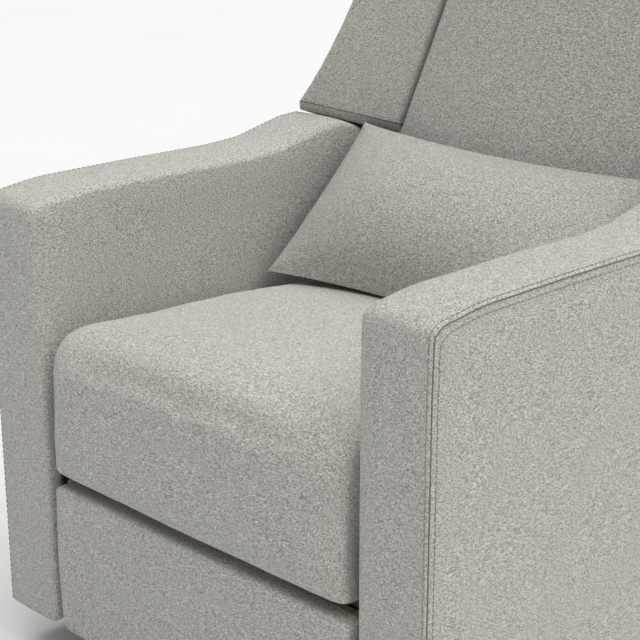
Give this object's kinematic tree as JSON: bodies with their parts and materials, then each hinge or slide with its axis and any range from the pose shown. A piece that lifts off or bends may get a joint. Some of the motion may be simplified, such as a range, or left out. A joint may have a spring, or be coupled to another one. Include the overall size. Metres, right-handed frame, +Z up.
{
  "type": "upholstered swivel glider armchair",
  "caption": "Fabric nursery armchair that swivels on a ring base, glides on hanging links, reclines with a coupled leg rest, and holds a loose lumbar pillow",
  "frame": {"origin": "on the floor under the swivel axis, at the middle of the part's footprint", "axes": "+Z up, the chair faces -Y, +X to the sitter's left"},
  "size_m": [0.746, 0.8665, 1.0625],
  "materials": {
    "upholstery": "heathered weave",
    "frame_wood": "bare",
    "black_steel": "satin",
    "plain_steel": "zinc plated",
    "nylon": "matt",
    "pad_rubber": "matt",
    "webbing": "woven"
  },
  "bodies": {
    "base": {"base_ring": "black_steel", "floor_pads": "pad_rubber", "base_cross": "black_steel", "lower_swivel_plate": "black_steel", "base_bolts": "plain_steel", "king_pin": "plain_steel", "king_nut": "plain_steel", "bearing_balls": "plain_steel", "ball_cage": "nylon"},
    "swivel": {"upper_swivel_plate": "black_steel", "swivel_beams": "black_steel", "beam_bolts": "plain_steel", "left_stand": "black_steel", "right_stand": "black_steel", "upper_pins": "plain_steel", "upper_clips": "plain_steel"},
    "front_hangers": {"front_links": "black_steel", "front_link_bushes": "nylon"},
    "rear_hangers": {"rear_links": "black_steel", "rear_link_bushes": "nylon"},
    "chair": {"left_glide_rail": "black_steel", "right_glide_rail": "black_steel", "lower_pins": "plain_steel", "lower_clips": "plain_steel", "front_seat_rail": "frame_wood", "rear_seat_rail": "frame_wood", "side_seat_rails": "frame_wood", "rail_bolts": "plain_steel", "seat_springs": "plain_steel", "spring_clips": "plain_steel", "seat_cushion": "upholstery", "arm_bolts": "plain_steel", "arm_spacers": "plain_steel", "leg_rest_pivots": "plain_steel", "recline_pivots": "plain_steel", "left_arm_panel": "frame_wood", "left_arm_posts": "frame_wood", "left_arm_top_rail": "frame_wood", "left_arm_cover": "upholstery", "right_arm_panel": "frame_wood", "right_arm_posts": "frame_wood", "right_arm_top_rail": "frame_wood", "right_arm_cover": "upholstery", "rear_panel": "upholstery"},
    "back": {"left_back_stile": "frame_wood", "right_back_stile": "frame_wood", "left_wing_board": "frame_wood", "right_wing_board": "frame_wood", "back_rails": "frame_wood", "back_webbing": "webbing", "outer_back": "upholstery", "back_pad": "upholstery", "left_wing": "upholstery", "right_wing": "upholstery"},
    "leg_rest": {"leg_rest_pad": "upholstery", "leg_rest_board": "frame_wood", "left_swing_bar": "black_steel", "right_swing_bar": "black_steel", "leg_rest_screws": "plain_steel"},
    "pillow": {"lumbar_pillow": "upholstery"}
  },
  "joints": [
    {"name": "swivel", "type": "hinge", "parent": "base", "child": "swivel", "pos_m": [0, 0, 0.046], "axis": [0, 0, 1], "continuous": true},
    {"name": "glide", "type": "hinge", "parent": "swivel", "child": "front_hangers", "pos_m": [0, -0.09, 0.226], "axis": [1, 0, 0], "range_deg": [-25, 25]},
    {"name": "rear_hang", "type": "hinge", "parent": "swivel", "child": "rear_hangers", "pos_m": [0, 0.09, 0.226], "axis": [1, 0, 0], "range_deg": [-25, 25]},
    {"name": "carry", "type": "hinge", "parent": "front_hangers", "child": "chair", "pos_m": [0, -0.09, 0.086], "axis": [1, 0, 0], "range_deg": [-25, 25]},
    {"name": "recline", "type": "hinge", "parent": "chair", "child": "back", "pos_m": [0, 0.15691, 0.34268], "axis": [-1, 0, 0], "range_deg": [0, 25]},
    {"name": "leg_rest_swing", "type": "hinge", "parent": "chair", "child": "leg_rest", "pos_m": [0, -0.3863, 0.415], "axis": [-1, 0, 0], "range_deg": [0, 85]},
    {"name": "pillow_lift", "type": "slide", "parent": "chair", "child": "pillow", "axis": [0, 0, 1], "range_m": [0, 0.3]}
  ],
  "couplings": [
    {"joint": "rear_hang", "follows": "glide", "ratio": 1},
    {"joint": "carry", "follows": "glide", "ratio": -1},
    {"joint": "leg_rest_swing", "follows": "recline", "ratio": 3.4}
  ]
}
